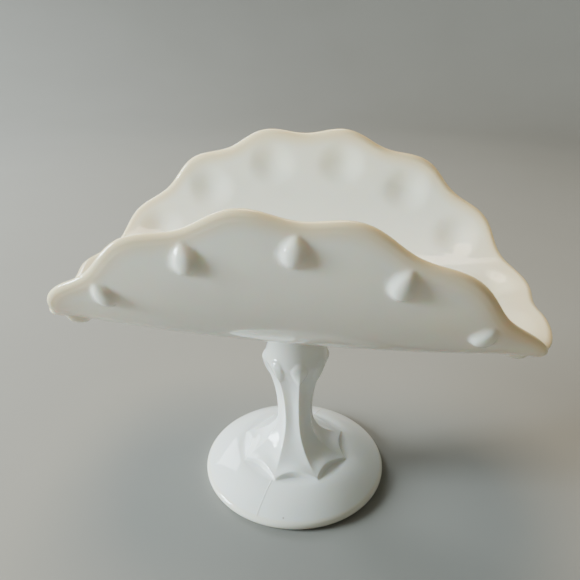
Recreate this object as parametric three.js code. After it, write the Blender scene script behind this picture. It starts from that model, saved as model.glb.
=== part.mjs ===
// A footed dish in opaque white glass, of the kind used to serve fruit and cake.
// A round scalloped plate was pressed flat and its front and back were folded up while hot.
// A small wafer of glass joins the dish to a pressed pedestal with a fluted, slightly twisted stem.
// Millimetres, +Z up, +X along the dish. The origin is the centre of the foot's underside.

import * as THREE from "three";

// Foot.
const FOOT_RADIUS = 58.8;
const FOOT_EDGE = 6.2; // thickness of the rounded rim of the foot
const FOOT_DOME = 9; // rise of the foot from its rim to the star
const RIM_END = 56; // degrees up the rim's rounding at which the dome carries on
const REST_RING = 6.5; // width of the flat ring that the foot stands on
const HOLLOW_DEPTH = 8; // depth of the shallow bell under the foot

// Stem, all radii measured to the ridges between the flutes.
const FLUTES = 8;
const STAR_RADIUS = 36; // tips of the eight-pointed step on the foot
const TOE_BAY = 2.8; // how far the toe of a side of the star curves in from a straight side
const LEDGE_WIDTH = 2.2; // from the toe of the step in to its top edge, at a tip
const LEDGE_BAY = 2.6; // how far the top edge curves in
const LEDGE_TIP = 1.4; // height of the step at a tip
const LEDGE_ARCH = 2.7; // how much higher it is in the middle of a side
const STAR_FADE = 7; // height over which the star turns into the flutes
const WAIST_RADIUS = 11.3;
const WAIST_HEIGHT = 45;
const SHOULDER_RADIUS = 20;
const SHOULDER_HEIGHT = 87;
const ROUND_START = 11; // the flutes begin to fade this far below the shoulder
const ROUND_END = 3; // and are gone this far above it
const ROUND_SHARE = 0.985; // radius of the round part, as a share of the ridge's radius
const NECK_RADIUS = 15.5;
const PEDESTAL_HEIGHT = 110;
const FLUTE_DEPTH = 0.7;
const STAR_TURN = 8.9; // degrees, from +X to the middle of a side of the star
const STEM_TWIST = -19; // degrees, most of them low down
const TWIST_SETTLE = 25; // height over which two thirds of the twist are made
const BEAD_WIDTH = 10.5; // drops on the ridges at the shoulder
const BEAD_LENGTH = 17;
const BEAD_HEIGHT = 1.3;
const BEAD_MIDDLE = 82.5; // height of their middle

// Wafer between pedestal and dish.
const WAFER_RADIUS = 19;
const WAFER_THICKNESS = 5;

// Dish, as the flat plate it was pressed as.
const LOBES = 16;
const PLATE_RADIUS = 140.5; // to the tip of a lobe
const LOBE_DEPTH = 4.9;
const LOBE_START = 0.75; // share of the plate's radius where the lobes begin
const LOBE_TURN = 2.9; // degrees, from +X to a valley between two lobes
const RIM_THICKNESS = 4.4;
const RIM_ROUND = 3.8; // how far in from the edge the rounding of the rim starts
const CENTRE_THICKNESS = 7.2;
const COLLAR_RADIUS = 17; // stub under the plate that meets the wafer
const COLLAR_DROP = 3.3;
const COLLAR_EDGE = 1.5; // width of the bevel round the stub's lower edge
const COLLAR_BEVEL = 1.2; // and its height
const COLLAR_FLARE = 1; // how much wider the stub is where it leaves the plate
const BOSS_RADIUS = 123; // from the centre of the plate to the middle of a boss
const BOSS_WIDTH = 11.4;
const BOSS_LENGTH = 14.2;
const BOSS_HEIGHT = 3.1;
const BOSS_LEAN = 80; // degrees, how far a boss at the very end of the dish would be turned upright
const HOLLOW_RADIUS = 118; // from the centre of the plate to the middle of a hollow in a lobe
const HOLLOW_WIDTH = 34;
const HOLLOW_SINK = 2.1; // on the inside only

// How the plate was bent.
const FLAT_HALF_WIDTH = 20.5; // half width of the floor that stayed flat
const BEND_RADIUS = 60; // to the middle of the glass
const WALL_ANGLE = 94; // degrees that each side was folded through
const END_RISE = 6; // lift of both tips
const END_DROOP = 4.4; // how much lower the front lobes hang at the tips
const DROOP_START = 0.72; // share of the plate's radius where they begin to hang
const DROOP_FROM = 2; // from the middle line of the dish to where the droop begins
const DROOP_TO = 26; // and to where it is full

// How the dish sits on its pedestal, never quite true when it is joined hot.
const DISH_OFFSET = 1.1; // toward +X
const TIP_FRONT = 1.3; // degrees, lowers the side toward -Y
const TIP_SIDE = 1; // degrees, lowers the tip toward +X

// Fineness of the meshes.
const STEPS_PER_LOBE = 10;
const STEPS_PER_FLUTE = 10;
const WAFER_STEPS = 48;
const LOBE_SQUEEZE = 0.6; // gathers the steps round the bosses

const radians = THREE.MathUtils.degToRad;
const { lerp, smoothstep } = THREE.MathUtils;

/** Distance of an angle from the nearest of a number of equally spaced directions. */
function fromNearest(angle, count) {
  const pitch = (2 * Math.PI) / count;
  return angle - pitch * Math.round(angle / pitch);
}

/** Points of a rounded edge, an ellipse that starts reach in from the outside, from its foot to end degrees. */
function roundEdge(outerRadius, thickness, reach, steps, end = 90) {
  const half = thickness / 2;
  const points = [];
  for (let i = 0; i <= steps; i += 1) {
    const turn = radians(lerp(-90, end, i / steps));
    points.push([outerRadius - reach + reach * Math.cos(turn), half + half * Math.sin(turn)]);
  }
  return points;
}

/** Height of a drop with its point toward +along, 1 at its fullest place and 0 outside. */
function drop(across, along, width, length) {
  const t = 0.5 + along / length;
  if (t <= 0 || t >= 1) {
    return 0;
  }
  const fullness = 2.377 * Math.sqrt(t) * (1 - t) ** 0.8; // 1 at its fullest
  const q = across / (0.5 * width * fullness);
  return q * q >= 1 ? 0 : Math.min(1, fullness) * Math.sqrt(1 - q * q);
}

/** Turns a closed profile about Z and moves each of its points with place(row, angle). */
function turned(rows, steps, place) {
  const profile = rows.map((row) => new THREE.Vector2(row.radius, row.height));
  const geometry = new THREE.LatheGeometry(profile, steps);
  const position = geometry.getAttribute("position");
  for (let i = 0; i < position.count; i += 1) {
    const step = Math.floor(i / rows.length) % steps;
    const point = place(rows[i % rows.length], (2 * Math.PI * step) / steps);
    position.setXYZ(i, point.x, point.y, point.z);
  }
  geometry.computeVertexNormals();
  return geometry;
}

// ---- pedestal ----

const FOOT_TOP = FOOT_EDGE + FOOT_DOME;

/** The foot's rounded rim and domed top, from the floor to near the star. */
function footRows() {
  const rim = roundEdge(FOOT_RADIUS, FOOT_EDGE, FOOT_EDGE / 2, 6, RIM_END);
  const [domeRadius, domeHeight] = rim[rim.length - 1];
  for (const t of [0.75, 0.5, 0.25]) {
    rim.push([lerp(STAR_RADIUS, domeRadius, t), lerp(FOOT_TOP, domeHeight, t ** 1.5)]);
  }
  return rim.map(([radius, height]) => ({ radius, height }));
}

/** The step of the star, from its toe on the foot to just under its top edge. */
function stepRows() {
  const rows = [];
  for (const inward of [0, 0.25, 0.5, 0.75]) {
    const lift = lerp(inward, smoothstep(inward, 0, 1), 0.75);
    const radius = STAR_RADIUS - LEDGE_WIDTH * inward;
    rows.push({ radius, height: FOOT_TOP + LEDGE_TIP * lift, fluted: true, lift });
  }
  return rows;
}

/** The stem's profile along a ridge, from the top of the star's step to the top of the pedestal. */
function ridgeRows() {
  const start = STAR_RADIUS - LEDGE_WIDTH;
  const base = FOOT_TOP + LEDGE_TIP;
  const flareHeight = WAIST_HEIGHT - base;
  const flare = new THREE.CubicBezierCurve(
    new THREE.Vector2(start, base),
    new THREE.Vector2(lerp(start, WAIST_RADIUS, 0.52), base + 0.18 * flareHeight),
    new THREE.Vector2(WAIST_RADIUS, base + 0.44 * flareHeight),
    new THREE.Vector2(WAIST_RADIUS, WAIST_HEIGHT),
  );
  const riseHeight = SHOULDER_HEIGHT - WAIST_HEIGHT;
  const rise = new THREE.CubicBezierCurve(
    new THREE.Vector2(WAIST_RADIUS, WAIST_HEIGHT),
    new THREE.Vector2(WAIST_RADIUS, WAIST_HEIGHT + 0.55 * riseHeight),
    new THREE.Vector2(lerp(WAIST_RADIUS, SHOULDER_RADIUS, 0.79), SHOULDER_HEIGHT - 0.27 * riseHeight),
    new THREE.Vector2(SHOULDER_RADIUS, SHOULDER_HEIGHT),
  );
  const neck = new THREE.CubicBezierCurve(
    new THREE.Vector2(SHOULDER_RADIUS, SHOULDER_HEIGHT),
    new THREE.Vector2(lerp(SHOULDER_RADIUS, NECK_RADIUS, 0.09), lerp(SHOULDER_HEIGHT, PEDESTAL_HEIGHT, 0.13)),
    new THREE.Vector2(lerp(SHOULDER_RADIUS, NECK_RADIUS, 0.76), lerp(SHOULDER_HEIGHT, PEDESTAL_HEIGHT, 0.35)),
    new THREE.Vector2(NECK_RADIUS, PEDESTAL_HEIGHT),
  );
  const points = [...flare.getPoints(8), ...rise.getPoints(14).slice(1), ...neck.getPoints(4).slice(1)];
  return points.map((point) => ({ radius: point.x, height: point.y, fluted: true, lift: 1 }));
}

/** Every row of the pedestal, from the middle of its underside up to the middle of its top. */
function pedestalRows() {
  const hollowRadius = FOOT_RADIUS - FOOT_EDGE / 2 - REST_RING;
  const rows = [];
  for (let i = 0; i <= 4; i += 1) {
    const t = i / 4;
    rows.push({ radius: hollowRadius * t, height: HOLLOW_DEPTH * (1 - t ** 2.4) });
  }
  rows.push(...footRows(), ...stepRows(), ...ridgeRows(), { radius: 0, height: PEDESTAL_HEIGHT });
  return rows;
}

/** Moves a point of the pedestal's profile to its place round the fluted stem. */
function placeOnPedestal(row, angle) {
  let { radius, height } = row;
  let twist = 0;
  if (row.fluted) {
    const half = Math.PI / FLUTES;
    const fromMiddle = Math.abs(fromNearest(angle, FLUTES));
    const inFlute = 1 - (fromMiddle / half) ** 2;
    const star = 1 - smoothstep(height, FOOT_TOP, FOOT_TOP + STAR_FADE);
    const bay = lerp(TOE_BAY, lerp(FLUTE_DEPTH, LEDGE_BAY, star), row.lift);
    const faceted = (radius * Math.cos(half)) / Math.cos(fromMiddle) - bay * inFlute;
    const roundness = smoothstep(height, SHOULDER_HEIGHT - ROUND_START, SHOULDER_HEIGHT + ROUND_END);
    height += LEDGE_ARCH * star * inFlute * row.lift;
    radius = lerp(faceted, ROUND_SHARE * radius, roundness) + bead(height, angle);
    twist = STEM_TWIST * (1 - Math.exp(-(height - FOOT_TOP) / TWIST_SETTLE));
  }
  const turn = angle + radians(STAR_TURN + twist);
  return { x: radius * Math.cos(turn), y: radius * Math.sin(turn), z: height };
}

/** Height of the drops on the ridges at the shoulder, their points hanging down. */
function bead(height, angle) {
  const across = Math.sin(fromNearest(angle + Math.PI / FLUTES, FLUTES)) * SHOULDER_RADIUS;
  return BEAD_HEIGHT * drop(across, BEAD_MIDDLE - height, BEAD_WIDTH, BEAD_LENGTH);
}

// ---- wafer ----

/** The small flat disc of glass between the pedestal and the dish. */
function waferRows() {
  const edge = roundEdge(WAFER_RADIUS, WAFER_THICKNESS, WAFER_THICKNESS / 2, 5);
  const rows = edge.map(([radius, height]) => ({ radius, height: PEDESTAL_HEIGHT + height }));
  rows.unshift({ radius: 0, height: PEDESTAL_HEIGHT });
  rows.push({ radius: 0, height: PEDESTAL_HEIGHT + WAFER_THICKNESS });
  return rows;
}

/** Leaves a point where the lathe put it. */
function placeRound(row, angle) {
  return { x: row.radius * Math.cos(angle), y: row.radius * Math.sin(angle), z: row.height };
}

// ---- dish ----

const DISH_SEAT = PEDESTAL_HEIGHT + WAFER_THICKNESS;
const FLOOR_HEIGHT = DISH_SEAT + COLLAR_DROP + CENTRE_THICKNESS - RIM_THICKNESS / 2;

/** Depth of the plate's underside below the middle of its rim's thickness. */
function undersideDepth(radius) {
  const share = 1 - (radius / PLATE_RADIUS) ** 2;
  return RIM_THICKNESS / 2 + (CENTRE_THICKNESS - RIM_THICKNESS) * share;
}

/** Every row of the flat plate, with heights counted from the middle of its rim's thickness. */
function dishRows() {
  const half = RIM_THICKNESS / 2;
  const seat = DISH_SEAT - FLOOR_HEIGHT;
  const collarTop = COLLAR_RADIUS + COLLAR_FLARE;
  const rows = [
    { radius: 0, height: seat, side: 0, onWafer: true },
    { radius: COLLAR_RADIUS - COLLAR_EDGE, height: seat, side: 0, onWafer: true },
    { radius: COLLAR_RADIUS, height: seat + COLLAR_BEVEL, side: 0 },
    { radius: collarTop, height: -undersideDepth(collarTop), side: 0 },
  ];
  const bossStart = BOSS_RADIUS - BOSS_LENGTH / 2;
  const bossEnd = BOSS_RADIUS + BOSS_LENGTH / 2;
  for (const t of [0.12, 0.3, 0.48, 0.66, 0.83]) {
    const radius = lerp(collarTop, bossStart, t);
    rows.push({ radius, height: -undersideDepth(radius), side: -1 });
  }
  for (const t of [0, 0.15, 0.33, 0.52, 0.72, 1]) {
    const radius = lerp(bossStart, bossEnd, t);
    rows.push({ radius, height: -undersideDepth(radius), side: -1 });
  }
  for (const [radius, height] of roundEdge(PLATE_RADIUS, RIM_THICKNESS, RIM_ROUND, 6)) {
    rows.push({ radius, height: height - half, side: 0 });
  }
  const rimStart = PLATE_RADIUS - RIM_ROUND;
  const hollowEnd = HOLLOW_RADIUS - HOLLOW_WIDTH / 2;
  for (const t of [0.12, 0.3, 0.48, 0.65, 0.82, 1]) {
    rows.push({ radius: lerp(rimStart, hollowEnd, t), height: half, side: 1 });
  }
  for (const t of [0.2, 0.42, 0.68]) {
    rows.push({ radius: lerp(hollowEnd, COLLAR_RADIUS, t), height: half, side: 1 });
  }
  rows.push({ radius: COLLAR_RADIUS, height: half, side: 0 });
  rows.push({ radius: 0, height: half, side: 0 });
  return rows;
}

/** Where the bend carries a point at a distance from the fold's axis and a height in the glass. */
function folded(distance, height) {
  const along = Math.abs(distance);
  const bent = Math.min(Math.max(0, along - FLAT_HALF_WIDTH) / BEND_RADIUS, radians(WALL_ANGLE));
  const flat = Math.min(along, FLAT_HALF_WIDTH);
  const straight = Math.max(0, along - FLAT_HALF_WIDTH - BEND_RADIUS * radians(WALL_ANGLE));
  const out = flat + (BEND_RADIUS - height) * Math.sin(bent) + straight * Math.cos(bent);
  const up = BEND_RADIUS - (BEND_RADIUS - height) * Math.cos(bent) + straight * Math.sin(bent);
  return { out: Math.sign(distance) * out, up };
}

/** Angle that the boss nearest to a direction is turned upright, more toward the ends of the dish. */
function bossTurn(angle) {
  const pitch = (2 * Math.PI) / LOBES;
  const valley = pitch * Math.round(angle / pitch) + radians(LOBE_TURN);
  const offSide = Math.atan2(Math.cos(valley), Math.abs(Math.sin(valley))) / (Math.PI / 2);
  return radians(BOSS_LEAN) * Math.sign(Math.sin(valley)) * offSide * Math.abs(offSide);
}

/** Presses lobes, bosses and hollows into a point of the plate, then bends it into the dish. */
function placeOnDish(row, step) {
  const angle = step - (LOBE_SQUEEZE * Math.sin(LOBES * step)) / LOBES;
  const valley = (1 + Math.cos(LOBES * angle)) / 2;
  const pressed = smoothstep(row.radius, LOBE_START * PLATE_RADIUS, PLATE_RADIUS);
  const radius = row.radius - LOBE_DEPTH * valley * pressed;
  let height = row.height;
  if (row.side < 0) {
    const place = new THREE.Vector2(fromNearest(angle, LOBES) * radius, radius - BOSS_RADIUS);
    place.rotateAround(new THREE.Vector2(), bossTurn(angle));
    height -= BOSS_HEIGHT * drop(place.x, place.y, BOSS_WIDTH, BOSS_LENGTH);
  }
  if (row.side > 0) {
    const across = fromNearest(angle + Math.PI / LOBES, LOBES) * radius;
    const reach = Math.hypot(across, radius - HOLLOW_RADIUS) / (HOLLOW_WIDTH / 2);
    height -= HOLLOW_SINK * (1 - smoothstep(reach, 0, 1));
  }
  const turn = angle + radians(LOBE_TURN);
  const along = radius * Math.cos(turn);
  const { out, up } = folded(radius * Math.sin(turn), height);
  const beyond = Math.max(0, Math.abs(along) - FLAT_HALF_WIDTH);
  const rise = END_RISE * (beyond / (PLATE_RADIUS - FLAT_HALF_WIDTH)) ** 2;
  const ends = smoothstep(Math.abs(along), DROOP_START * PLATE_RADIUS, PLATE_RADIUS);
  const droop = END_DROOP * ends * smoothstep(-out, DROOP_FROM, DROOP_TO);
  const point = new THREE.Vector3(along, out, up + rise - droop);
  if (!row.onWafer) {
    point.applyEuler(new THREE.Euler(radians(TIP_FRONT), radians(TIP_SIDE), 0));
  }
  return point.add(new THREE.Vector3(DISH_OFFSET, 0, FLOOR_HEIGHT));
}

// ---- assembly ----

/** A named piece of opaque white pressed glass. */
function piece(name, geometry, colour) {
  const material = new THREE.MeshStandardMaterial({ color: colour, roughness: 0.12, metalness: 0 });
  const mesh = new THREE.Mesh(geometry, material);
  mesh.name = name;
  return mesh;
}

const group = new THREE.Group();
group.add(piece("pedestal", turned(pedestalRows(), FLUTES * STEPS_PER_FLUTE, placeOnPedestal), 0xe9ebe8));
group.add(piece("wafer", turned(waferRows(), WAFER_STEPS, placeRound), 0xe4e6e2));
group.add(piece("bowl", turned(dishRows(), LOBES * STEPS_PER_LOBE, placeOnDish), 0xefeee8));

export default group;
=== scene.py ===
"""Looks of a footed dish in opaque white pressed glass.

A round scalloped plate was pressed flat with a drop-shaped boss under every valley of its rim.
Its front and back were folded up while it was hot, and it was then joined by a small wafer of
glass to a pressed pedestal with a fluted, slightly twisted stem.

The three pieces are built here again at a finer grain than the CAD solids that they stand for,
from the same dimensions, and dressed in milk glass. Lengths in the size classes are millimetres.
"""

import logging
import math
from dataclasses import dataclass, field
from enum import Enum, IntEnum
from typing import Callable, Sequence

import bpy
import numpy as np
from mathutils import Matrix, Vector

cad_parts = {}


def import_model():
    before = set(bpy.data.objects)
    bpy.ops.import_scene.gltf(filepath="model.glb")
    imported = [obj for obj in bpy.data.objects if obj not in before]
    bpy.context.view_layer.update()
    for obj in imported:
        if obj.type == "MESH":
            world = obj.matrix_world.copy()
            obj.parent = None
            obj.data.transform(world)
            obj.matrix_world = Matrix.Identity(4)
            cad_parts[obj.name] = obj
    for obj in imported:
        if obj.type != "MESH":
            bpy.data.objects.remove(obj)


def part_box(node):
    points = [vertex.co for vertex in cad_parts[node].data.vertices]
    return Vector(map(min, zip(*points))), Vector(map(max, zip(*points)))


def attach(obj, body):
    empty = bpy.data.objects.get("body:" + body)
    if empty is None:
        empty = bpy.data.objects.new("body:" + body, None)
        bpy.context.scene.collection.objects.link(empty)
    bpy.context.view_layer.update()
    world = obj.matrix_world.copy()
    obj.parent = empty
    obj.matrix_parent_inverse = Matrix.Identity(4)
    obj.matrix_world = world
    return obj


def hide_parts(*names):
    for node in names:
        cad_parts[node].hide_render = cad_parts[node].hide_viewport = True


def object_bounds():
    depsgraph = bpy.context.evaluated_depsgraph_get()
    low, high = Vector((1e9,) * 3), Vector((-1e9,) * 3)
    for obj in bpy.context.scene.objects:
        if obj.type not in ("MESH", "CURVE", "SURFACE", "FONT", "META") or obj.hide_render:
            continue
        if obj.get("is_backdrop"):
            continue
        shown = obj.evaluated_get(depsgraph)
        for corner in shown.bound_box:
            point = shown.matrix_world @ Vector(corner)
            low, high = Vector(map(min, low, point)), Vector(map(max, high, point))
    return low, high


log = logging.getLogger("dish")

MM = 0.001
THIN = "thin"  # mesh attribute, 1 where the glass is thin; it sets the share of a painted warm glow there
DROP_PEAK = 2.377  # brings the fullest place of a drop to 1
DROP_POINT = 0.8  # the lower, the blunter the point of a drop
SOFTENING_RINGS = ((0.5, 6), (1.0, 10))  # share of the reach, and samples round the ring
Colour = tuple[float, float, float]
Point = tuple[float, float, float]
Outline = list[tuple[float, float]]  # radius and height of each point
Value = float | np.ndarray


class Kind(Enum):
    """What a socket of a node group carries."""

    VECTOR = "NodeSocketVector"
    FLOAT = "NodeSocketFloat"
    COLOUR = "NodeSocketColor"


class Side(IntEnum):
    """The side of the plate that a row of points is on."""

    UNDER = -1
    EDGE = 0
    INNER = 1


@dataclass(frozen=True)
class Row:
    """One ring of points of a turned piece, before it is shaped.

    Attributes:
        radius: Distance from the axis.
        height: Height above the piece's own zero.
        side: Side of the plate, for the dish.
        fluted: 1 where the flutes of the stem shape the ring, 0 where it is round.
        lift: Share of the star's step that raises the ring between two ridges.
        seat: Whether the ring is the level stub that stands on the wafer.
        thin: How thin the glass is, 0 to 1; it sets the share of painted warm glow there.
    """

    radius: float
    height: float
    side: Side = Side.EDGE
    fluted: float = 0.0
    lift: float = 0.0
    seat: bool = False
    thin: float = 0.0


@dataclass(frozen=True)
class Ring:
    """All rows of a piece as columns, and the angles of its steps as one line.

    Attributes:
        radius: Radius of each row, and so on with the fields of Row.
        step: Angle of each step.
    """

    radius: np.ndarray
    height: np.ndarray
    side: np.ndarray
    fluted: np.ndarray
    lift: np.ndarray
    seat: np.ndarray
    step: np.ndarray


# ---- shared maths ----


def smoothstep(value: np.ndarray, low: float, high: float) -> np.ndarray:
    """Rises smoothly from 0 at low to 1 at high."""
    t = np.clip((np.asarray(value, float) - low) / (high - low), 0.0, 1.0)
    return t * t * (3.0 - 2.0 * t)


def lerp(start: Value, end: Value, share: Value) -> Value:
    """Goes a share of the way from start to end."""
    return start + (end - start) * share


def from_nearest(angle: np.ndarray, count: int) -> np.ndarray:
    """Measures angles from the nearest of a number of equally spaced directions."""
    pitch = 2.0 * math.pi / count
    return angle - pitch * np.round(angle / pitch)


def drop(across: np.ndarray, along: np.ndarray, width: float, length: float) -> np.ndarray:
    """Shapes a pressed drop with its point toward +along.

    Args:
        across: Distances from the drop's long axis.
        along: Distances from its middle, along the axis.
        width: Full width at its fullest place.
        length: Full length.

    Returns:
        Heights, 1 at the fullest place and 0 outside the drop.
    """
    t = np.clip(0.5 + along / length, 0.0, 1.0)
    fullness = DROP_PEAK * np.sqrt(t) * (1.0 - t) ** DROP_POINT
    reach = 0.5 * width * np.maximum(fullness, 1e-6)
    q = np.minimum(1.0, np.abs(across) / reach)
    return np.minimum(1.0, fullness) * np.sqrt(1.0 - q * q)


def softened(
    shape: Callable[[np.ndarray, np.ndarray], np.ndarray],
    across: np.ndarray,
    along: np.ndarray,
    reach: float,
) -> np.ndarray:
    """Averages a raised shape over a small disc, as a fire-polished mould mark is rounded.

    Args:
        shape: Height of the shape at any place.
        across: Distances across it.
        along: Distances along it.
        reach: Radius of the disc.

    Returns:
        The softened heights.
    """
    total, weight = shape(across, along), 1.0
    for part, count in SOFTENING_RINGS:
        share = 1.25 - part
        for i in range(count):
            turn = 2.0 * math.pi * (i + part) / count
            aside, ahead = reach * part * math.cos(turn), reach * part * math.sin(turn)
            total = total + share * shape(across + aside, along + ahead)
            weight += share
    return total / weight


def bezier(points: Outline, steps: int) -> Outline:
    """Samples a Bezier curve of any degree.

    Args:
        points: Its control points, radius and height.
        steps: Number of stretches between the samples.

    Returns:
        The samples, both ends included.
    """
    degree = len(points) - 1
    samples = []
    for i in range(steps + 1):
        t = i / steps
        weights = [math.comb(degree, k) * t**k * (1.0 - t) ** (degree - k) for k in range(degree + 1)]
        radius = sum(w * p[0] for w, p in zip(weights, points))
        samples.append((radius, sum(w * p[1] for w, p in zip(weights, points))))
    return samples


def round_edge(
    outer: float, thickness: float, reach: float, steps: int, end: float = 90.0
) -> Outline:
    """Finds the points of a rounded edge, part of an ellipse, from its foot up.

    Args:
        outer: Radius to the outside of the edge.
        thickness: Full thickness of the piece at the edge.
        reach: How far in from the outside the rounding starts.
        steps: Number of stretches.
        end: Degrees above the outermost point at which the rounding stops.

    Returns:
        Radius and height of each point.
    """
    half = thickness / 2.0
    turns = [math.radians(lerp(-90.0, end, i / steps)) for i in range(steps + 1)]
    return [(outer - reach + reach * math.cos(t), half + half * math.sin(t)) for t in turns]


def spread(start: float, end: float, steps: int) -> list[float]:
    """Spaces values evenly, without the first one."""
    return [lerp(start, end, (i + 1) / steps) for i in range(steps)]


# ---- meshes ----


def linked(name: str, data: bpy.types.ID) -> bpy.types.Object:
    """Makes an object and links it to the scene.

    Args:
        name: Its name.
        data: Its mesh, camera or light.

    Returns:
        The object.
    """
    made = bpy.data.objects.new(name, data)
    bpy.context.scene.collection.objects.link(made)
    return made


def round_points(radius: np.ndarray, turn: np.ndarray, height: np.ndarray) -> np.ndarray:
    """Places points round the upright axis."""
    return np.stack(np.broadcast_arrays(radius * np.cos(turn), radius * np.sin(turn), height), axis=-1)


def turned_mesh(
    name: str, rows: Sequence[Row], steps: int, place: Callable[[Ring], np.ndarray]
) -> bpy.types.Mesh:
    """Makes a closed, smooth mesh by turning rows about the upright axis and shaping each point.

    Args:
        name: Name of the mesh.
        rows: The profile, from the middle of the underside to the middle of the top.
        steps: Number of steps in a turn.
        place: Gives the points of all rows, in millimetres, as an array of rows, steps and 3.

    Returns:
        The mesh in metres.
    """
    fields = ("radius", "height", "side", "fluted", "lift", "seat")
    columns = {key: np.array([[getattr(row, key)] for row in rows]) for key in fields}
    step = np.linspace(0.0, 2.0 * math.pi, steps, endpoint=False)[None, :]
    grid = place(Ring(step=step, **columns)) * MM
    body = grid[1:-1].reshape(-1, 3)
    points = np.vstack([grid[0].mean(0), body, grid[-1].mean(0)])
    last = len(points) - 1
    rings = len(rows) - 2
    faces: list[tuple[int, ...]] = []
    for j in range(steps):
        k = (j + 1) % steps
        faces.append((0, 1 + k, 1 + j))
        for i in range(rings - 1):
            low, high = 1 + i * steps, 1 + (i + 1) * steps
            faces.append((low + j, low + k, high + k, high + j))
        top = 1 + (rings - 1) * steps
        faces.append((top + j, top + k, last))
    mesh = bpy.data.meshes.new(name)
    mesh.from_pydata(points.tolist(), [], faces)
    mesh.shade_smooth()
    thin = np.concatenate(
        [[rows[0].thin], np.repeat([row.thin for row in rows[1:-1]], steps), [rows[-1].thin]]
    )
    attribute = mesh.attributes.new(THIN, "FLOAT", "POINT")
    attribute.data.foreach_set("value", thin.astype(np.float32))
    mesh.validate()
    return mesh


def set_on(mesh: bpy.types.Mesh, node: str) -> None:
    """Moves a mesh so that the middle of its base is where a CAD node has its own.

    Args:
        mesh: The mesh to move.
        node: Name of the CAD node that it stands for.
    """
    points = np.array([v.co for v in mesh.vertices], float)
    boxes = (Vector(points.min(0)), Vector(points.max(0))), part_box(node)
    here, there = (Vector(((a.x + b.x) / 2, (a.y + b.y) / 2, a.z)) for a, b in boxes)
    mesh.transform(Matrix.Translation(there - here))


# ---- finishes ----


class Tree:
    """Adds nodes to one shader tree and joins them.

    Attributes:
        MIX_FIRST: Index of a mix node's first colour input.
        MIX_SECOND: Index of its second colour input.
        MIX_RESULT: Index of its colour output.
    """

    MIX_FIRST, MIX_SECOND, MIX_RESULT = 6, 7, 2

    def __init__(self, tree: bpy.types.NodeTree) -> None:
        """Takes the tree to add to."""
        self.tree = tree

    def node(self, kind: str, **settings: object) -> bpy.types.Node:
        """Adds a node.

        Args:
            kind: Blender's name for the type of node.
            **settings: Properties of the node to set.

        Returns:
            The new node.
        """
        made = self.tree.nodes.new(kind)
        for key, value in settings.items():
            setattr(made, key, value)
        return made

    def join(self, source: bpy.types.NodeSocket, target: bpy.types.NodeSocket) -> None:
        """Joins an output to an input."""
        self.tree.links.new(source, target)

    def feed(self, target: bpy.types.NodeSocket, value: object) -> None:
        """Joins a socket to an input, or sets the input to a plain value.

        Args:
            target: The input.
            value: An output socket, a number or a tuple.
        """
        if isinstance(value, bpy.types.NodeSocket):
            self.join(value, target)
        else:
            target.default_value = value

    def maths(self, operation: str, *values: object) -> bpy.types.NodeSocket:
        """Adds a maths node.

        Args:
            operation: Blender's name for the operation.
            *values: Its inputs, sockets or numbers.

        Returns:
            Its output.
        """
        made = self.node("ShaderNodeMath", operation=operation)
        for target, value in zip(made.inputs, values):
            self.feed(target, value)
        return made.outputs[0]

    def ramp(self, value: object, low: float, high: float) -> bpy.types.NodeSocket:
        """Rises smoothly from 0 to 1 while a value goes from low to high.

        Args:
            value: The value, a socket.
            low: Where the rise starts.
            high: Where it ends.

        Returns:
            The share of the rise.
        """
        made = self.node("ShaderNodeMapRange", interpolation_type="SMOOTHSTEP", clamp=True)
        self.feed(made.inputs["Value"], value)
        made.inputs["From Min"].default_value = low
        made.inputs["From Max"].default_value = high
        return made.outputs["Result"]

    def scaled(self, value: object, factor: float) -> bpy.types.NodeSocket:
        """Multiplies a value by a plain number."""
        return self.maths("MULTIPLY", value, factor)

    def fall(self, value: object, low: float, high: float) -> bpy.types.NodeSocket:
        """Falls smoothly from 1 to 0 while a value goes from low to high."""
        return self.maths("SUBTRACT", 1.0, self.ramp(value, low, high))

    def apart(self, place: bpy.types.NodeSocket) -> bpy.types.NodeInputs:
        """Splits coordinates into X, Y and Z.

        Args:
            place: The coordinates.

        Returns:
            The outputs named X, Y and Z.
        """
        split = self.node("ShaderNodeSeparateXYZ")
        self.join(place, split.inputs["Vector"])
        return split.outputs

    def mix(self, share: object, first: object, second: object) -> bpy.types.NodeSocket:
        """Mixes two colours.

        Args:
            share: Share of the second colour.
            first: A colour, or an output that gives one.
            second: A colour, or an output that gives one.

        Returns:
            The mixed colour.
        """
        made = self.node("ShaderNodeMix", data_type="RGBA")
        self.feed(made.inputs["Factor"], share)
        self.feed(made.inputs[self.MIX_FIRST], first)
        self.feed(made.inputs[self.MIX_SECOND], second)
        return made.outputs[self.MIX_RESULT]

    def noise(self, place: bpy.types.NodeSocket, scale: float, detail: float) -> bpy.types.NodeSocket:
        """Adds a noise texture.

        Args:
            place: Coordinates to look it up at.
            scale: Waves in a metre.
            detail: Octaves of finer noise.

        Returns:
            Its value, about 0.5 in the middle.
        """
        made = self.node("ShaderNodeTexNoise")
        self.join(place, made.inputs["Vector"])
        made.inputs["Scale"].default_value = scale
        made.inputs["Detail"].default_value = detail
        return made.outputs[0]


def new_material(name: str) -> tuple[bpy.types.Material, Tree, bpy.types.NodeInputs]:
    """Makes a material.

    Args:
        name: Its name.

    Returns:
        The material, its tree and the inputs of its shader.
    """
    material = bpy.data.materials.new(name)
    material.use_nodes = True
    return material, Tree(material.node_tree), material.node_tree.nodes["Principled BSDF"].inputs


def opaque(colour: Colour) -> tuple[float, float, float, float]:
    """Returns a colour with an alpha of 1."""
    return (*colour, 1.0)


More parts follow.
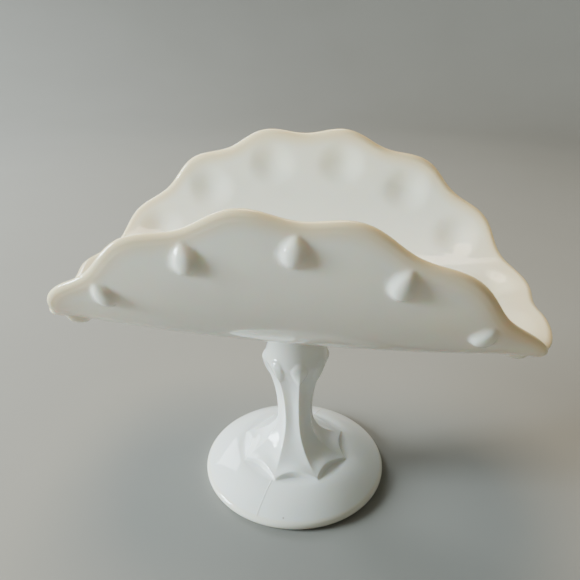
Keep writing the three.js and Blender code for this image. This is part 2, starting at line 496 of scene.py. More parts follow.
def new_group(name: str, inputs: dict[str, Kind], outputs: dict[str, Kind]) -> Tree:
    """Makes an empty node group.

    Args:
        name: Its name.
        inputs: Name and kind of each input.
        outputs: Name and kind of each output.

    Returns:
        The group's tree.
    """
    group = bpy.data.node_groups.new(name, "ShaderNodeTree")
    for side, sockets in (("INPUT", inputs), ("OUTPUT", outputs)):
        for socket, kind in sockets.items():
            group.interface.new_socket(name=socket, in_out=side, socket_type=kind.value)
    return Tree(group)


def cloudy_body_group() -> bpy.types.NodeTree:
    """Makes the node group that colours milk glass, cloudy in the body, with a painted warm glow where it
    is thin.

    Returns:
        The group, with Place, Thin, Body, Warm and Cloud inputs and a Colour output; Warm is the colour of
        the painted glow and Thin its share.
    """
    inputs = {"Place": Kind.VECTOR, "Thin": Kind.FLOAT}
    inputs |= {"Body": Kind.COLOUR, "Warm": Kind.COLOUR, "Cloud": Kind.COLOUR}
    tree = new_group("cloudy_body", inputs, {"Colour": Kind.COLOUR})
    given = tree.node("NodeGroupInput").outputs
    cloud = tree.ramp(tree.noise(given["Place"], 14.0, 3.0), 0.35, 0.7)
    clouded = tree.mix(tree.scaled(cloud, 0.5), given["Body"], given["Cloud"])
    # Paints a warm glow over the body colour, as of light coming through thin glass.
    with_painted_glow = tree.mix(given["Thin"], clouded, given["Warm"])
    tree.join(with_painted_glow, tree.node("NodeGroupOutput").inputs["Colour"])
    return tree.tree


def pressed_skin_group() -> bpy.types.NodeTree:
    """Makes the node group for the skin that a mould and a polishing fire leave on glass.

    Returns:
        The group, with Place, Gloss and Wave inputs and Roughness and Height outputs.
    """
    inputs = {"Place": Kind.VECTOR, "Gloss": Kind.FLOAT, "Wave": Kind.FLOAT}
    tree = new_group("pressed_skin", inputs, {"Roughness": Kind.FLOAT, "Height": Kind.FLOAT})
    given = tree.node("NodeGroupInput").outputs
    sink = tree.noise(given["Place"], 45.0, 1.0)
    chill = tree.noise(given["Place"], 220.0, 2.0)
    handled = tree.ramp(tree.noise(given["Place"], 30.0, 4.0), 0.45, 0.75)
    uneven = tree.maths("ADD", tree.scaled(sink, 0.16), tree.scaled(chill, 0.006))
    height = tree.maths("MULTIPLY", uneven, given["Wave"])
    rough = tree.maths("ADD", given["Gloss"], tree.scaled(handled, 0.07))
    out = tree.node("NodeGroupOutput").inputs
    tree.join(height, out["Height"])
    tree.join(rough, out["Roughness"])
    return tree.tree


@dataclass(frozen=True)
class FootMarks:
    """The fine mould seam across a foot and the dark speck near its rim, in millimetres.

    Attributes:
        turn: Degrees from +X to the seam.
        start: Distance from the axis at which the seam comes out from under the star.
        rim: Height of the foot's rim, above which the seam shows.
        star: Height of the star, below which it shows.
        width: Half width of the seam.
        width_core: Half width within which it is at its full strength.
        proud: Share of the bump's distance that the seam stands proud.
        dirt: Share of grime in the seam.
        speck: Distance of the speck from the axis, toward -Y.
        size: Radius of the speck.
        size_core: Radius within which it is at its darkest.
        dark: Share of grime in the speck.
    """

    turn: float = -106.5
    start: float = 35.0
    rim: float = 5.0
    star: float = 16.0
    width: float = 0.6
    width_core: float = 0.1
    proud: float = 0.12
    dirt: float = 0.28
    speck: float = 55.4
    size: float = 0.7
    size_core: float = 0.3
    dark: float = 0.7

    def seam(self, tree: Tree, place: bpy.types.NodeSocket) -> bpy.types.NodeSocket:
        """Adds the nodes of the seam.

        Args:
            tree: The material's tree.
            place: Coordinates on the piece.

        Returns:
            A mask, 1 on the seam.
        """
        turned = tree.node("ShaderNodeVectorRotate", rotation_type="Z_AXIS", invert=True)
        tree.join(place, turned.inputs["Vector"])
        turned.inputs["Angle"].default_value = math.radians(self.turn)
        at = tree.apart(turned.outputs["Vector"])
        line = tree.fall(tree.maths("ABSOLUTE", at["Y"]), self.width_core * MM, self.width * MM)
        outside = tree.ramp(tree.maths("ABSOLUTE", at["X"]), self.start * MM, (self.start + 1.0) * MM)
        on_foot = tree.maths("MULTIPLY", outside, tree.ramp(at["Z"], self.rim * MM, (self.rim + 1.5) * MM))
        below_star = tree.fall(at["Z"], self.star * MM, (self.star + 1.0) * MM)
        return tree.maths("MULTIPLY", line, tree.maths("MULTIPLY", on_foot, below_star))

    def dot(self, tree: Tree, place: bpy.types.NodeSocket) -> bpy.types.NodeSocket:
        """Adds the nodes of the speck.

        Args:
            tree: The material's tree.
            place: Coordinates on the piece.

        Returns:
            A mask, 1 on the speck.
        """
        flat = tree.node("ShaderNodeVectorMath", operation="MULTIPLY")
        tree.join(place, flat.inputs[0])
        flat.inputs[1].default_value = (1.0, 1.0, 0.0)
        away = tree.node("ShaderNodeVectorMath", operation="DISTANCE")
        tree.join(flat.outputs["Vector"], away.inputs[0])
        away.inputs[1].default_value = (0.0, -self.speck * MM, 0.0)
        return tree.fall(away.outputs["Value"], self.size_core * MM, self.size * MM)


@dataclass(frozen=True)
class MilkGlass:
    """Finish of opaque white pressed glass.

    Attributes:
        name: Name of the material.
        body: Colour of thick glass.
        cloud: Colour of its cloudier places.
        painted_glow: Colour of the painted warm glow, as of light coming through the glass, where it is
            thin.
        grime: Colour of a speck and of dirt along a seam.
        gloss: Roughness of the cleanest places.
        wave: Strength of the unevenness of the skin.
        glow: Share of the light that goes in and comes out again elsewhere.
        depth: How far red, green and blue light goes in it, in millimetres.
        marks: The seam and the speck of a foot, if it has them.
        painted_glow_from: How far along the dish its ends start to take a painted warm glow, as of light
            coming through them, if they do.
        painted_glow_to: How far along the painted glow is strongest.
        painted_glow_share: Share of the painted glow colour there.
    """

    name: str
    body: Colour = (0.87, 0.87, 0.825)
    cloud: Colour = (0.835, 0.84, 0.80)
    painted_glow: Colour = (0.84, 0.72, 0.47)
    grime: Colour = (0.33, 0.28, 0.23)
    gloss: float = 0.06
    wave: float = 1.0
    glow: float = 0.45
    depth: Colour = (4.0, 3.0, 1.9)
    marks: FootMarks | None = None
    painted_glow_from: float | None = None
    painted_glow_to: float = 140.0
    painted_glow_share: float = 0.8

    def build(self, body: bpy.types.NodeTree, skin: bpy.types.NodeTree) -> bpy.types.Material:
        """Makes the material.

        Args:
            body: The group that colours it.
            skin: The group that gives its roughness and unevenness.

        Returns:
            The material.
        """
        material, tree, shader = new_material(self.name)
        place = tree.node("ShaderNodeTexCoord").outputs["Object"]
        thin = tree.node("ShaderNodeAttribute", attribute_name=THIN).outputs["Fac"]
        # The ends of the dish also take the painted warm glow, as of light coming through them.
        if self.painted_glow_from is not None:
            along = tree.maths("ABSOLUTE", tree.apart(place)["X"])
            ends = tree.ramp(along, self.painted_glow_from * MM, self.painted_glow_to * MM)
            thin = tree.maths("MAXIMUM", thin, tree.scaled(ends, self.painted_glow_share))

        colour = tree.node("ShaderNodeGroup", node_tree=body)
        tree.join(place, colour.inputs["Place"])
        tree.join(thin, colour.inputs["Thin"])
        colour.inputs["Body"].default_value = opaque(self.body)
        colour.inputs["Cloud"].default_value = opaque(self.cloud)
        # Colour of the painted warm glow.
        colour.inputs["Warm"].default_value = opaque(self.painted_glow)
        painted = colour.outputs["Colour"]

        surface = tree.node("ShaderNodeGroup", node_tree=skin)
        tree.join(place, surface.inputs["Place"])
        surface.inputs["Gloss"].default_value = self.gloss
        surface.inputs["Wave"].default_value = self.wave
        tree.join(surface.outputs["Roughness"], shader["Roughness"])
        bump = tree.node("ShaderNodeBump")
        bump.inputs["Distance"].default_value = MM
        bump.inputs["Strength"].default_value = 1.0
        height = surface.outputs["Height"]
        if self.marks is not None:
            seam, speck = self.marks.seam(tree, place), self.marks.dot(tree, place)
            height = tree.maths("ADD", height, tree.scaled(seam, self.marks.proud))
            painted = tree.mix(tree.scaled(seam, self.marks.dirt), painted, opaque(self.grime))
            painted = tree.mix(tree.scaled(speck, self.marks.dark), painted, opaque(self.grime))
        tree.join(painted, shader["Base Color"])
        tree.join(height, bump.inputs["Height"])
        tree.join(bump.outputs["Normal"], shader["Normal"])

        shader["IOR"].default_value = 1.5
        shader["Subsurface Weight"].default_value = self.glow
        shader["Subsurface Radius"].default_value = self.depth
        shader["Subsurface Scale"].default_value = MM
        return material


@dataclass(frozen=True)
class Floor:
    """A plain pale floor that sweeps up into a wall all round, in metres.

    Attributes:
        flat: Radius of the level floor.
        sweep: Radius of the curve between floor and wall.
        wall: Height of the wall.
        steps: Steps in a turn of the mesh.
        rings: Rings in the curve.
        colour: Its colour.
        shade: The colour of its slightly darker places.
    """

    flat: float = 1.2
    sweep: float = 0.9
    wall: float = 2.4
    steps: int = 96
    rings: int = 16
    colour: Colour = (0.27, 0.26, 0.24)
    shade: Colour = (0.25, 0.24, 0.22)

    def outline(self) -> Outline:
        """Finds the floor's outline, from the edge of its level part to the top of its wall.

        Returns:
            Radius and height of each point.
        """
        turns = [math.radians(90.0 * i / self.rings) for i in range(self.rings + 1)]
        curve = [
            (self.flat + self.sweep * math.sin(t), self.sweep * (1.0 - math.cos(t))) for t in turns
        ]
        return [*curve, (self.flat + self.sweep, self.wall)]

    def build(self, height: float) -> bpy.types.Object:
        """Makes the floor and marks it as no part of the object.

        Args:
            height: Height of its level part.

        Returns:
            The floor.
        """
        points = [(0.0, 0.0, height)]
        faces: list[tuple[int, ...]] = []
        outline = self.outline()
        for radius, rise in outline:
            for j in range(self.steps):
                turn = 2.0 * math.pi * j / self.steps
                points.append((radius * math.cos(turn), radius * math.sin(turn), height + rise))
        for j in range(self.steps):
            k = (j + 1) % self.steps
            faces.append((0, 1 + j, 1 + k))
            for i in range(len(outline) - 1):
                low, high = 1 + i * self.steps, 1 + (i + 1) * self.steps
                faces.append((low + j, high + j, high + k, low + k))
        mesh = bpy.data.meshes.new("floor")
        mesh.from_pydata(points, [], faces)
        mesh.shade_smooth()
        floor = linked("floor", mesh)
        mesh.materials.append(self.paint())
        floor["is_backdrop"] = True
        return floor

    def paint(self) -> bpy.types.Material:
        """Makes the floor's matt paint.

        Returns:
            The material.
        """
        material, tree, shader = new_material("floor_paint")
        place = tree.node("ShaderNodeTexCoord").outputs["Object"]
        tree.join(
            tree.mix(tree.noise(place, 6.0, 4.0), opaque(self.colour), opaque(self.shade)),
            shader["Base Color"],
        )
        shader["Roughness"].default_value = 0.7
        shader["Specular IOR Level"].default_value = 0.2
        return material


# ---- sub-assemblies ----


@dataclass(frozen=True)
class Piece:
    """Something that can be built as one mesh, dressed and set in place of a CAD node.

    Attributes:
        node: Name of the CAD node that it stands for.
        steps: Steps in a turn of the mesh.
    """

    node: str
    steps: int

    def rows(self) -> list[Row]:
        """Lists every ring from the middle of the underside to the middle of the top."""
        raise NotImplementedError

    def place(self, ring: Ring) -> np.ndarray:
        """Shapes the rings and gives their points in millimetres."""
        raise NotImplementedError

    def build(self) -> bpy.types.Object:
        """Makes the piece, puts it where its CAD node is and has it ride on the object.

        Returns:
            The piece.
        """
        mesh = turned_mesh(f"{self.node}_glass", self.rows(), self.steps, self.place)
        set_on(mesh, self.node)
        made = linked(mesh.name, mesh)
        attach(made, "root")
        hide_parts(self.node)
        log.info("%s: %d points, %d faces", made.name, len(mesh.vertices), len(mesh.polygons))
        return made

    def dress(self, made: bpy.types.Object, material: bpy.types.Material) -> None:
        """Gives the piece its finish."""
        made.data.materials.append(material)


@dataclass(frozen=True)
class Pedestal(Piece):
    """The pressed foot and stem.

    Attributes:
        foot_radius: Radius of the foot.
        foot_edge: Thickness of the rounded rim of the foot.
        rim_end: Degrees up its rounding at which the dome carries on.
        foot_dome: Rise of the foot from its rim to the star.
        rest_ring: Width of the flat ring that the foot stands on.
        hollow_depth: Depth of the shallow bell under the foot.
        flutes: Number of flutes round the stem.
        star_radius: Radius of the tips of the star on the foot.
        toe_bay: How far the toe of a side of the star curves in.
        ledge_width: How far the step's top edge lies inside its toe at a tip.
        ledge_bay: How far the top edge curves in.
        ledge_tip: Height of the step at a tip.
        ledge_arch: How much higher the step is in the middle of a side.
        star_fade: Height over which the star turns into the flutes.
        waist_radius: Radius of the ridges at the waist.
        waist_height: Height of the waist.
        shoulder_radius: Radius of the ridges at the shoulder.
        shoulder_height: Height of the shoulder.
        neck_radius: Radius of the top.
        height: Full height of the pedestal.
        round_start: How far below the shoulder the flutes begin to fade.
        round_end: How far above it they are gone.
        round_share: Radius of the round part, as a share of the ridges' radius.
        flute_depth: How far a flute is hollowed.
        star_turn: Degrees from +X to the middle of a side of the star.
        stem_twist: Degrees that the stem turns, most of them low down.
        twist_settle: Height over which two thirds of that turn is made.
        bead_width: Width of the drops on the ridges.
        bead_length: Their length.
        bead_height: How proud they stand.
        bead_middle: Height of their middle.
        bead_softness: How far their edges are rounded off.
        steps: Steps in a turn of the mesh.
    """

    node: str = "pedestal"
    foot_radius: float = 58.8
    foot_edge: float = 6.2
    rim_end: float = 56.0
    foot_dome: float = 9.0
    rest_ring: float = 6.5
    hollow_depth: float = 8.0
    flutes: int = 8
    star_radius: float = 36.0
    toe_bay: float = 2.8
    ledge_width: float = 2.2
    ledge_bay: float = 2.6
    ledge_tip: float = 1.4
    ledge_arch: float = 2.7
    star_fade: float = 7.0
    waist_radius: float = 11.3
    waist_height: float = 45.0
    shoulder_radius: float = 20.0
    shoulder_height: float = 87.0
    neck_radius: float = 15.5
    height: float = 110.0
    round_start: float = 11.0
    round_end: float = 3.0
    round_share: float = 0.985
    flute_depth: float = 0.7
    star_turn: float = 8.9
    stem_twist: float = -19.0
    twist_settle: float = 25.0
    bead_width: float = 10.5
    bead_length: float = 17.0
    bead_height: float = 1.3
    bead_middle: float = 82.5
    bead_softness: float = 0.6
    steps: int = 320

    @property
    def foot_top(self) -> float:
        """Gives the height of the foot where the star's step starts."""
        return self.foot_edge + self.foot_dome

    def foot_rim(self) -> Outline:
        """Finds the rounded rim of the foot, from the floor to where the dome carries on."""
        return round_edge(self.foot_radius, self.foot_edge, self.foot_edge / 2.0, 18, self.rim_end)

    def dome_height(self, radius: float) -> float:
        """Finds the height of the foot's domed top outside the star.

        Args:
            radius: Distance from the axis.

        Returns:
            The height there.
        """
        start, height = self.foot_rim()[-1]
        t = min(1.0, max(0.0, (radius - self.star_radius) / (start - self.star_radius)))
        return lerp(self.foot_top, height, t**1.5)

    def ridge_curve(self) -> Outline:
        """Finds the stem's outline along a ridge, from a tip of the star to the top.

        Returns:
            Radius and height of each point.
        """
        base = self.foot_top + self.ledge_tip
        start = self.star_radius - self.ledge_width
        waist = (self.waist_radius, self.waist_height)
        shoulder = (self.shoulder_radius, self.shoulder_height)
        top = (self.neck_radius, self.height)
        flare_height = self.waist_height - base
        flare_out = (lerp(start, self.waist_radius, 0.52), base + 0.18 * flare_height)
        flare_in = (self.waist_radius, base + 0.44 * flare_height)
        flare = bezier([(start, base), flare_out, flare_in, waist], 40)
        rise_height = self.shoulder_height - self.waist_height
        rise_low = (self.waist_radius, self.waist_height + 0.55 * rise_height)
        rise_high = (lerp(waist[0], shoulder[0], 0.79), self.shoulder_height - 0.27 * rise_height)
        rise = bezier([waist, rise_low, rise_high, shoulder], 56)
        neck_low = (lerp(shoulder[0], top[0], 0.09), lerp(shoulder[1], top[1], 0.13))
        neck_high = (lerp(shoulder[0], top[0], 0.76), lerp(shoulder[1], top[1], 0.35))
        neck = bezier([shoulder, neck_low, neck_high, top], 20)
        return [*flare, *rise[1:], *neck[1:]]

    def rows(self) -> list[Row]:
        """Lists every ring from the middle of the underside to the middle of the top.

        Returns:
            The rings.
        """
        hollow_radius = self.foot_radius - self.foot_edge / 2.0 - self.rest_ring
        made = []
        for i in range(17):
            t = i / 16
            made.append(Row(hollow_radius * t, self.hollow_depth * (1.0 - t**2.4)))
        for radius in spread(hollow_radius, self.foot_radius - self.foot_edge / 2.0, 4)[:-1]:
            made.append(Row(radius, 0.0))
        rim = self.foot_rim()
        # The foot's rounded rim takes a little painted warm glow, as of light coming through thin glass.
        made += [Row(r, h, thin=0.3) for r, h in rim]
        for radius in spread(rim[-1][0], self.star_radius + 0.5, 18):
            made.append(Row(radius, self.dome_height(radius)))
        made += self.step_rows()
        curve = self.ridge_curve()
        made += [Row(r, h, fluted=1.0, lift=1.0) for r, h in curve[1:]]
        made.append(Row(self.neck_radius * 0.6, self.height))
        made.append(Row(0.0, self.height))
        return made

    def step_rows(self) -> list[Row]:
        """Lists the rings of the star's step, from its toe on the foot to its rounded top edge.

        Returns:
            The rings.
        """
        made = []
        for i in range(13):
            inward = i / 12
            upward = lerp(inward, float(smoothstep(np.array(inward), 0.0, 1.0)), 0.75)
            radius = self.star_radius - self.ledge_width * inward
            height = self.foot_top + self.ledge_tip * upward
            made.append(Row(radius, height, fluted=1.0, lift=upward))
        return made

    def place(self, ring: Ring) -> np.ndarray:
        """Shapes the rings into the foot, the star and the fluted stem.

        Args:
            ring: Rows and steps of the piece.

        Returns:
            Points in millimetres.
        """
        half = math.pi / self.flutes
        from_middle = np.abs(from_nearest(ring.step, self.flutes))
        in_flute = 1.0 - (from_middle / half) ** 2
        fade = smoothstep(ring.height, self.foot_top, self.foot_top + self.star_fade)
        star = ring.fluted * (1.0 - fade)
        bay = lerp(self.flute_depth, self.ledge_bay, star)
        bay = lerp(self.toe_bay, bay, ring.lift)
        faceted = ring.radius * math.cos(half) / np.cos(from_middle) - bay * in_flute
        round_from = self.shoulder_height - self.round_start
        roundness = smoothstep(ring.height, round_from, self.shoulder_height + self.round_end)
        fluted = lerp(faceted, self.round_share * ring.radius, roundness)
        radius = np.where(ring.fluted > 0.0, fluted, ring.radius)
        height = ring.height + self.ledge_arch * star * in_flute * ring.lift
        across = np.sin(from_nearest(ring.step + half, self.flutes)) * self.shoulder_radius
        beads = softened(
            lambda a, b: drop(a, -b, self.bead_width, self.bead_length),
            across,
            height - self.bead_middle,
            self.bead_softness,
        )
        radius = radius + self.bead_height * beads * (ring.lift > 0.99)
        climb = np.maximum(0.0, height - self.foot_top)
        twist = self.stem_twist * (1.0 - np.exp(-climb / self.twist_settle))
        turn = ring.step + np.radians(self.star_turn + ring.fluted * twist)
        return round_points(radius, turn, height)


@dataclass(frozen=True)
class Wafer(Piece):
    """The small disc of glass that joins pedestal and dish.

    Attributes:
        radius: Its radius.
        thickness: Its thickness.
        steps: Steps in a turn of the mesh.
    """

    node: str = "wafer"
    radius: float = 19.0
    thickness: float = 5.0
    steps: int = 128

    def rows(self) -> list[Row]:
        """Lists every ring from the middle of the underside to the middle of the top.

        Returns:
            The rings.
        """
        start = self.radius - self.thickness / 2.0
        edge = round_edge(self.radius, self.thickness, self.thickness / 2.0, 14)
        return [
            Row(0.0, 0.0),
            *(Row(r, 0.0) for r in spread(0.0, start, 5)[:-1]),
            *(Row(r, h) for r, h in edge),
            *(Row(r, self.thickness) for r in spread(start, 0.0, 5)),
        ]

    def place(self, ring: Ring) -> np.ndarray:
        """Leaves the rings round."""
        return round_points(ring.radius, ring.step, ring.height)


@dataclass(frozen=True)
class Bowl(Piece):
    """The scalloped plate that was folded into a dish.

    Attributes:
        lobes: Number of lobes round the rim.
        plate_radius: Radius of the flat plate, to the tip of a lobe.
        lobe_depth: How far a valley lies inside a lobe.
        lobe_start: Share of the plate's radius where the lobes begin.
        lobe_turn: Degrees from +X to a valley.
        rim_thickness: Thickness at the rim.
        rim_round: How far in the rounding of the rim starts.
        rim_painted_glow: How far in from the rim the painted warm glow reaches.
        centre_thickness: Thickness in the middle.
        collar_radius: Radius of the stub that meets the wafer.
        collar_drop: Height of the stub.
        boss_radius: Distance from the middle of the plate to the middle of a boss.
        boss_width: Width of a boss.
        boss_length: Its length.
        boss_height: How proud it stands.
        boss_softness: How far its edges and its crest are rounded off.
        boss_lean: Degrees that a boss right at a tip of the dish would be turned.
        hollow_radius: Distance from the middle of the plate to the middle of a hollow in a lobe.
        hollow_width: Width of a hollow.
        hollow_depth: Its depth, on the inside only.
        flat_half_width: Half width of the floor that stayed flat.
        bend_radius: Radius of the folds, to the middle of the glass.
        wall_angle: Degrees that each side was folded through.
        end_rise: Lift of both tips.
        end_droop: How much lower the front lobes hang at the tips.
        droop_start: Share of the plate's radius where they begin to hang.
        droop_from: From the middle line of the dish to where the droop begins.
        droop_to: And to where it is full.
        tip_front: Degrees that the dish leans to the front.
        tip_side: Degrees that it leans to the right.
        squeeze: How strongly the steps of the mesh gather round the bosses.
        steps: Steps in a turn of the mesh.
    """

    node: str = "bowl"
    lobes: int = 16
    plate_radius: float = 140.5
    lobe_depth: float = 4.9
    lobe_start: float = 0.75
    lobe_turn: float = 2.9
    rim_thickness: float = 4.4
    rim_round: float = 3.8
    rim_painted_glow: float = 12.0
    centre_thickness: float = 7.2
    collar_radius: float = 17.0
    collar_drop: float = 3.3
    boss_radius: float = 123.0
    boss_width: float = 11.4
    boss_length: float = 14.2
    boss_height: float = 3.1
    boss_softness: float = 1.1
    boss_lean: float = 80.0
    hollow_radius: float = 118.0
    hollow_width: float = 34.0
    hollow_depth: float = 2.1
    flat_half_width: float = 20.5
    bend_radius: float = 60.0
    wall_angle: float = 94.0
    end_rise: float = 6.0
    end_droop: float = 4.4
    droop_start: float = 0.72
    droop_from: float = 2.0
    droop_to: float = 26.0
    tip_front: float = 1.3
    tip_side: float = 1.0
    squeeze: float = 0.6
    steps: int = 384

    @property
    def seat(self) -> float:
        """Gives the height of the stub's face below the middle of the rim's thickness."""
        return -(self.collar_drop + self.centre_thickness - self.rim_thickness / 2.0)

    def underside(self, radius: float) -> float:
        """Finds the height of the plate's underside."""
        share = 1.0 - (radius / self.plate_radius) ** 2
        return -(self.rim_thickness / 2.0 + (self.centre_thickness - self.rim_thickness) * share)

    def thinness(self, radius: float) -> float:
        """Finds how near a place is to the thin rim."""
        return float(smoothstep(np.array(radius), self.plate_radius - self.rim_painted_glow, self.plate_radius))

    def rows(self) -> list[Row]:
        """Lists every ring from the middle of the underside to the middle of the inside.

        Returns:
            The rings.
        """
        half = self.rim_thickness / 2.0
        collar = self.collar_radius
        made = [
            Row(0.0, self.seat, seat=True),
            Row(collar * 0.5, self.seat, seat=True),
            Row(collar - 1.5, self.seat, seat=True),
            Row(collar - 0.6, self.seat + 0.25),
            Row(collar - 0.1, self.seat + 0.75),
            Row(collar, self.seat + 1.3),
            Row(collar + 0.15, self.seat + 2.0),
            Row(collar + 0.5, lerp(self.seat, self.underside(collar + 1.0), 0.86)),
            Row(collar + 1.2, self.underside(collar + 1.0) - 0.12),
        ]
        boss_start = self.boss_radius - self.boss_length / 2.0 - 1.0
        boss_end = self.boss_radius + self.boss_length / 2.0 + 1.0
        rim_start = self.plate_radius - self.rim_round
        # Rows near the rim carry their thinness, which sets the share of a painted warm glow.
        for radius in [
            *spread(collar + 2.0, boss_start, 36),
            *spread(boss_start, boss_end, 30),
            *spread(boss_end, rim_start, 6)[:-1],
        ]:
            made.append(Row(radius, self.underside(radius), Side.UNDER, thin=self.thinness(radius)))
        for r, h in round_edge(self.plate_radius, self.rim_thickness, self.rim_round, 18):
            made.append(Row(r, h - half, thin=self.thinness(r)))
        hollow_start = self.hollow_radius - self.hollow_width / 2.0
        for radius in [*spread(rim_start, hollow_start, 30), *spread(hollow_start, 3.0, 34)]:
            made.append(Row(radius, half, Side.INNER, thin=self.thinness(radius)))
        made.append(Row(0.0, half))
        return made

    def folded(self, distance: np.ndarray, height: np.ndarray) -> tuple[np.ndarray, np.ndarray]:
        """Bends the plate up on both sides of its long axis.

        Args:
            distance: Distances from the long axis on the flat plate.
            height: Heights in the thickness of the glass.

        Returns:
            Distances out from the long axis and heights, after the fold.
        """
        along = np.abs(distance)
        full = math.radians(self.wall_angle)
        bent = np.clip((along - self.flat_half_width) / self.bend_radius, 0.0, full)
        flat = np.minimum(along, self.flat_half_width)
        straight = np.maximum(0.0, along - self.flat_half_width - self.bend_radius * full)
        out = flat + (self.bend_radius - height) * np.sin(bent) + straight * np.cos(bent)
        up = self.bend_radius - (self.bend_radius - height) * np.cos(bent) + straight * np.sin(bent)
        return np.sign(distance) * out, up

    def boss_turn(self, angle: np.ndarray) -> np.ndarray:
        """Turns the bosses toward upright, the more the nearer they are to the two tips.

        Args:
            angle: Angles round the plate, from the first valley.

        Returns:
            The angle in radians that the boss there is turned from pointing straight out.
        """
        pitch = 2.0 * math.pi / self.lobes
        valley = pitch * np.round(angle / pitch) + math.radians(self.lobe_turn)
        off_side = np.arctan2(np.cos(valley), np.abs(np.sin(valley))) / (math.pi / 2.0)
        return math.radians(self.boss_lean) * np.sign(np.sin(valley)) * off_side * np.abs(off_side)

    def place(self, ring: Ring) -> np.ndarray:
        """Presses lobes, bosses and hollows into the plate, then folds it and tips it.

        Args:
            ring: Rows and steps of the piece.

        Returns:
            Points in millimetres.
        """
        angle = ring.step - self.squeeze * np.sin(self.lobes * ring.step) / self.lobes
        valley = (1.0 + np.cos(self.lobes * angle)) / 2.0
        fade = smoothstep(ring.radius, self.lobe_start * self.plate_radius, self.plate_radius)
        radius = ring.radius - self.lobe_depth * valley * fade
        across = from_nearest(angle, self.lobes) * radius
        along = radius - self.boss_radius
        lean = self.boss_turn(angle)
        bosses = softened(
            lambda a, b: drop(a, b, self.boss_width, self.boss_length),
            across * np.cos(lean) - along * np.sin(lean),
            along * np.cos(lean) + across * np.sin(lean),
            self.boss_softness,
        )
        from_lobe = from_nearest(angle + math.pi / self.lobes, self.lobes) * radius
        reach = np.hypot(from_lobe, radius - self.hollow_radius) / (self.hollow_width / 2.0)
        hollows = 1.0 - smoothstep(reach, 0.0, 1.0)
        height = (
            ring.height
            - self.boss_height * bosses * (ring.side < 0)
            - self.hollow_depth * hollows * (ring.side > 0)
        )
        turn = angle + math.radians(self.lobe_turn)
        length = radius * np.cos(turn)
        out, up = self.folded(radius * np.sin(turn), height)
        beyond = np.maximum(0.0, np.abs(length) - self.flat_half_width)
        rise = self.end_rise * (beyond / (self.plate_radius - self.flat_half_width)) ** 2
        ends = smoothstep(np.abs(length), self.droop_start * self.plate_radius, self.plate_radius)
        droop = self.end_droop * ends * smoothstep(-out, self.droop_from, self.droop_to)
        points = np.stack([length, out, up + rise - droop], axis=-1)
        front = Matrix.Rotation(math.radians(self.tip_front), 3, "X")
        side = Matrix.Rotation(math.radians(self.tip_side), 3, "Y")
        tipped = points @ np.array(front @ side).T
        return np.where(ring.seat[..., None], points, tipped)


# ---- studio ----


@dataclass(frozen=True)
class Camera:
    """The camera, aimed at a place near the middle of the object.

    Attributes:
        aim: The place that it is aimed at, from the middle of the object.
        distance: Distance from that place.
        azimuth: Degrees round the object from the front, toward +X.
        elevation: Degrees above the horizon.
        roll: Degrees of tilt.
        lens: Focal length in millimetres.
    """

    aim: Point = (-0.00527, 0.00134, 0.02608)
    distance: float = 0.3515
    azimuth: float = 7.26
    elevation: float = 26.03
    roll: float = 0.44
    lens: float = 37.22

    def build(self, middle: Vector) -> bpy.types.Object:
        """Makes the camera and gives it to the scene.

        Args:
            middle: The middle of the object.

        Returns:
            The camera.
        """
        turn, rise, roll = (math.radians(a) for a in (self.azimuth, self.elevation, self.roll))
        level = math.cos(rise)
        back = Vector((math.sin(turn) * level, -math.cos(turn) * level, math.sin(rise)))
        right = Vector((math.cos(turn), math.sin(turn), 0.0))
        up = back.cross(right)
        x = right * math.cos(roll) + up * math.sin(roll)
        y = up * math.cos(roll) - right * math.sin(roll)
        data = bpy.data.cameras.new("camera")
        data.lens = self.lens
        data.clip_start = 0.01
        made = linked("camera", data)
        place = middle + Vector(self.aim) + back * self.distance
        axes = Matrix((x, y, back)).transposed()
        made.matrix_world = Matrix.Translation(place) @ axes.to_4x4()
        bpy.context.scene.camera = made
        return made


@dataclass(frozen=True)
class Light:
    """A soft area light.

    Attributes:
        name: Its name.
        place: Where it is, from the middle of the object, in metres.
        size: Width and height, in metres.
        power: Power in watts.
        colour: Its colour.
    """

    name: str
    place: Point
    size: tuple[float, float]
    power: float
    colour: Colour

    def build(self, middle: Vector) -> bpy.types.Object:
        """Makes the light and aims it at the object.

        Args:
            middle: The middle of the object.

        Returns:
            The light.
        """
        data = bpy.data.lights.new(self.name, "AREA")
        data.shape = "RECTANGLE"
        data.size, data.size_y = self.size
        data.energy = self.power
        data.color = self.colour
        made = linked(self.name, data)
        made.location = middle + Vector(self.place)
        made.rotation_euler = (-Vector(self.place)).to_track_quat("-Z", "Y").to_euler()
        return made


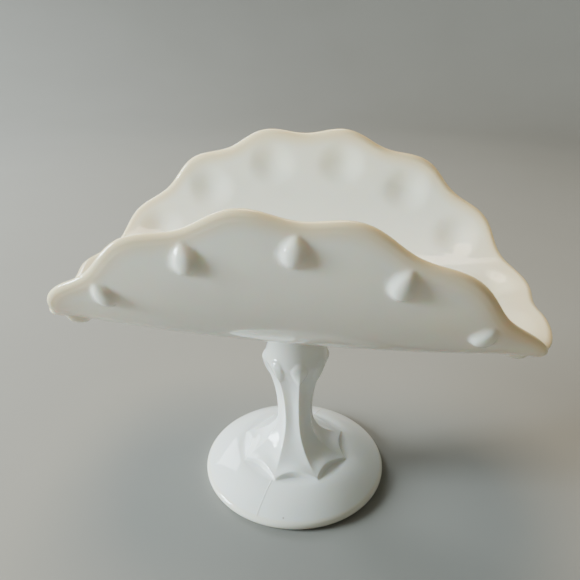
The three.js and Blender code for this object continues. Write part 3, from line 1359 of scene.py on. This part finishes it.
@dataclass(frozen=True)
class Studio:
    """The floor, the lights and the light of the room.

    Attributes:
        floor: The floor.
        lights: The lights.
        room: Colour of the light that comes from everywhere.
        strength: Its strength.
    """

    floor: Floor = field(default_factory=Floor)
    lights: tuple[Light, ...] = (
        Light("window", (-1.69, -0.36, 0.42), (0.56, 0.95), 108.0, (0.80, 0.95, 1.0)),
        Light("ceiling", (-0.15, 0.25, 1.3), (0.7, 0.7), 17.0, (1.0, 0.84, 0.58)),
        Light("back_window", (-1.2, 1.15, 1.0), (0.8, 0.8), 24.0, (0.84, 0.95, 1.0)),
    )
    room: Colour = (1.0, 0.86, 0.66)
    strength: float = 0.03

    def build(self, low: Vector, high: Vector) -> None:
        """Makes the floor and lights the object.

        Args:
            low: Lowest corner of the object.
            high: Highest corner of the object.
        """
        self.floor.build(low.z)
        middle = (low + high) / 2.0
        for light in self.lights:
            light.build(middle)
        world = bpy.data.worlds.new("room")
        world.use_nodes = True
        background = world.node_tree.nodes["Background"].inputs
        background["Color"].default_value = opaque(self.room)
        background["Strength"].default_value = self.strength
        bpy.context.scene.world = world


class Dish:
    """The whole footed dish."""

    def __init__(self) -> None:
        """Takes the three pieces and their finishes."""
        self.pieces = (Pedestal(), Wafer(), Bowl())
        self.finishes = {
            "pedestal": MilkGlass("pedestal_milk_glass", marks=FootMarks()),
            "wafer": MilkGlass("wafer_milk_glass"),
            "bowl": MilkGlass(
                "bowl_milk_glass",
                body=(0.872, 0.862, 0.765),
                cloud=(0.842, 0.832, 0.745),
                # Both tips of the dish take a painted warm glow, as of light coming through them.
                painted_glow_from=85.0,
            ),
        }

    def build(self) -> None:
        """Builds and dresses every piece."""
        body, skin = cloudy_body_group(), pressed_skin_group()
        for piece in self.pieces:
            made = piece.build()
            piece.dress(made, self.finishes[piece.node].build(body, skin))


def main() -> None:
    """Builds the scene."""
    logging.basicConfig(level=logging.INFO, format="%(name)s: %(message)s")
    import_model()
    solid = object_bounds()
    Camera().build((solid[0] + solid[1]) / 2.0)
    Studio().build(*solid)
    Dish().build()


if __name__ == "__main__":
    main()
